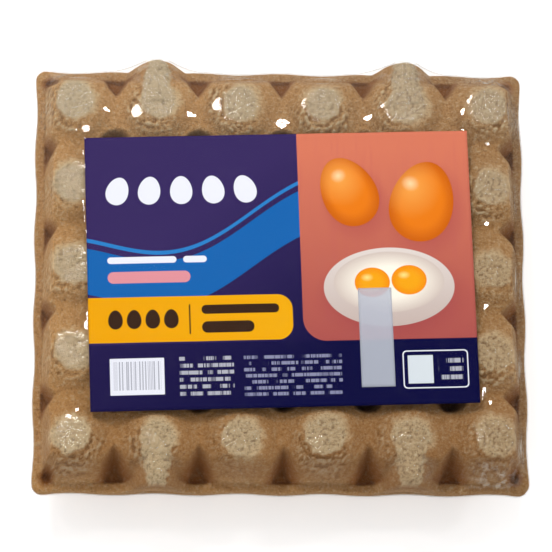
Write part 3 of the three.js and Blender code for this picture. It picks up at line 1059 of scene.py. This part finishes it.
sticker_u, sticker_v = off_label(STICKER_MIDDLE.x, STICKER_MIDDLE.y)
points, faces, shares = sheet_mesh(
    STICKER_LENGTH, STICKER_WIDTH, sticker_u, sticker_v, STICKER_THICKNESS,
    STICKER_THICKNESS + STICKER_GAP,
)
make_piece(
    "see_through_sticker", points, faces, sticker_finish(),
    ["clear_sticker"], shares,
)

# %% [markdown]
# ## The shrink film
# Shrunk film is a stretched skin. It touches the cups, the label and the rim, and spans
# everything else. A cloth simulation could find that shape, but a taut skin has a simple law:
# each free point lies at the mean of its neighbours. So the film starts high, and is
# averaged again and again, never below what carries it.

# %% The film's shape
FILM_STEP = 1.4
FILM_GAP = 0.2
FILM_REACH = 0.45
ROUNDS = 1400
TENT_REACH = 22
SIDES = (np.s_[0, :], np.s_[-1, :], np.s_[:, 0], np.s_[:, -1])
BELT = ((0.3, 0.0), (0.5, 0.25), (0.7, 0.0))
film_noise = Noise(41)


def film_edge(x, y, eared):
    """How high the film stands over the rim, and how it is drawn up to each ear."""
    aside = np.abs(x - nearest(x, EAR_REACH, 2)[0])
    tent = limit(1 - (aside - EAR_WIDTH_AT_RIM / 2) / TENT_REACH)
    beside = eared & (HALF_Y - np.abs(y) < EDGE_Y)
    return between(RIM_HEIGHT, TRAY_HEIGHT - 4, np.where(beside, tent ** 1.6, 0)) + 0.25


def taut(carried, edge):
    """Averages a skin over what carries it, with its edge held."""
    held = carried.copy()
    for side in SIDES:
        held[side] = np.maximum(edge[side], carried[side])
    skin = np.maximum(held, held.mean())
    for side in SIDES:
        skin[side] = held[side]
    for _ in range(ROUNDS):
        mean = skin[:-2, 1:-1] + skin[2:, 1:-1] + skin[1:-1, :-2] + skin[1:-1, 2:]
        skin[1:-1, 1:-1] = np.maximum(carried[1:-1, 1:-1], mean / 4)
    return skin


def on_sheet(x, y):
    """True where the label lies, with a little margin."""
    u, v = off_label(x, y)
    return (np.abs(u) < LABEL_LENGTH / 2 + 0.5) & (np.abs(v) < LABEL_WIDTH / 2 + 0.5)


def film_side(tray, with_label):
    """Points over one tray from the plane where the trays meet, and the film's shares."""
    xs = grid_lines(HALF_X, FILM_STEP)
    ys = grid_lines(HALF_Y, FILM_STEP)
    x, y = np.meshgrid(xs, ys, indexing="ij")
    height, cap, *_ = tray.surface(x, y)
    carried = height + FILM_GAP
    if with_label:
        over = label_top(x, y) - UPPER_FLOOR + FILM_GAP + 0.05
        carried = np.where(on_sheet(x, y), np.maximum(carried, over), carried)
    skin = taut(carried, film_edge(x, y, tray.eared))
    free = ease(skin - carried, 0.1, 3.0)
    inset = np.minimum(HALF_X - np.abs(x), HALF_Y - np.abs(y))
    outer = 1 - ease(inset, 12, 26)
    pucker = film_noise(x / 3.0, y / 3.0, 0.4, 2.2) * 0.22 * free * outer * (inset > 2)
    skin = skin + np.abs(pucker)
    plan_x, plan_y = in_plan(x, y, FILM_REACH)
    points = np.stack([plan_x, plan_y, skin], -1).reshape(-1, 3)
    touch = (1 - free) * cap
    if with_label:
        touch = touch * ~on_sheet(x, y)
    beside_row = np.exp(-((y - nearest(y, PITCH_Y, ROWS)[0] + 5) / 9) ** 2) * (HALF_X - np.abs(x) < 16)
    beside_column = np.exp(-((x - nearest(x, PITCH_X, COLUMNS)[0]) / 12) ** 2) * (HALF_Y - np.abs(y) < 20)
    drawn = np.maximum(beside_row, beside_column) * (1 - ease(inset, 13, 19)) * ease(inset, 1, 4)
    drawn = drawn * ease(skin - carried, 0.02, 0.8)
    over_print = on_sheet(x, y) * float(with_label)
    shares = [share.ravel() for share in (touch, drawn, over_print)]
    return points, len(xs), len(ys), shares


def film_mesh():
    """The film all round: over the upper tray, under the lower one, and a belt between."""
    top, across, along, top_shares = film_side(upper, True)
    bottom, _, _, bottom_shares = film_side(lower, False)
    top = top + [0, 0, UPPER_FLOOR]
    bottom = bottom * [1, -1, -1] + [0, 0, LOWER_CEILING]
    bottom = bottom.reshape(across, along, 3)[:, ::-1].reshape(-1, 3)
    bottom_shares = [share.reshape(across, along)[:, ::-1].ravel() for share in bottom_shares]
    ring = grid_ring(across, along)
    faces = [grid_faces(across, along), grid_faces(across, along)[:, ::-1] + len(top)]
    layers = [top, bottom]
    last = ring + len(top)
    into = inwards(top[ring])
    for share, depth in BELT:
        belt = between(bottom[ring], top[ring], share) + into * depth
        number = np.arange(len(ring)) + sum(len(layer) for layer in layers)
        faces.append(belt_faces(last, number))
        layers.append(belt)
        last = number
    faces.append(belt_faces(last, ring))
    extra = 3 * len(ring)
    names = ("touch", "drawn", "on_print")
    shares = {
        name: np.concatenate([high, low, np.zeros(extra)])
        for name, high, low in zip(names, top_shares, bottom_shares)
    }
    return np.concatenate(layers), np.concatenate(faces).tolist(), shares


# %% [markdown]
# The film's finish is mostly a Transparent shader. A share of it that grows towards grazing
# views is Glossy, which mirrors the lamps. That share is worked out from Layer Weight, which
# is the same on both faces of a thin film, where Fresnel would turn the inner face into
# a mirror. A thin milky share stands for the haze where the film gathers at the rim, with
# painted reflection streaks on the right and back sides, and gives a painted sheen where it
# catches the light on the cups at the back and the left.

# %% Film finish


def film_finish():
    """Clear film with hard glints, crinkled on the cups, milky where it gathers, with painted reflection
    streaks and painted sheen.
    """
    paint = Finish("clear_shrink_film")
    place = paint.place()
    x, y, z = paint.axes(place)
    touch = paint.attribute("touch")
    drawn = paint.attribute("drawn")
    on_print = paint.attribute("on_print")
    crease = paint.noise(paint.stretched(place, (1.4, 9, 3)), 1.0, 2, 0.5, 0.4)
    ripple = paint.noise(place, 14, 2)
    crinkle = paint.noise(place, 1.7, 2, 0.6)
    left = (0.5 - x / 250).clear() * ((y + 80) / 60).clear()
    back = ((y - 30) / 70).clear()
    height = ripple * 0.15 + crease * drawn * 0.3
    height = height + crinkle * touch * ((left + back).clear() * 1.3 + 0.7)
    normal = paint.bump(height, 0.7, 1.3)
    band_x = paint.noise(paint.stretched(place, (4, 26, 4)), 1.0, 3, 0.6, 0.4)
    band_y = paint.noise(paint.stretched(place, (26, 4, 4)), 1.0, 3, 0.6, 0.4)
    # Painted reflection: milky streaks on the film's right and back sides, towards the lamps.
    right_bands = ((x - 60) / 80).clear() * ((band_x - 0.47) * 5).clear()
    back_bands = ((y - 70) / 60).clear() * ((band_y - 0.47) * 5).clear()
    reflection_streaks = right_bands.at_least(back_bands) * ((z - 38) / 12).clear()
    facing = paint.node("LayerWeight", None, {"Blend": 0.5, "Normal": normal}, 1)
    mirror = 0.05 + touch * (left + back).clear() * 0.05 + 0.25 * facing ** 5
    # Painted sheen: milky film over the cups at the back and the left, where the key lamp falls.
    bloom = (left * 0.03 + back * 0.05) * (touch * 0.7 + 0.3) * (1 - drawn)
    haze = 0.003 + drawn * (reflection_streaks * 0.45 + 0.02) + 0.06 * facing ** 3
    haze = haze + bloom * (1 - on_print)
    clear = paint.node("BsdfTransparent", None, {"Color": (0.985, 0.985, 0.985)})
    gloss = paint.node("BsdfGlossy", None, {"Roughness": 0.02, "Normal": normal})
    milk = paint.skin({"Base Color": tint("F1EADB"), "Roughness": 0.35, "Normal": normal})
    shine = paint.node("MixShader", None, {0: mirror, 1: clear, 2: gloss})
    return paint.show(paint.node("MixShader", None, {0: haze.clear(), 1: shine, 2: milk}))


points, faces, shares = film_mesh()
make_piece("shrink_film", points, faces, film_finish(), ["film"], shares)

# %% [markdown]
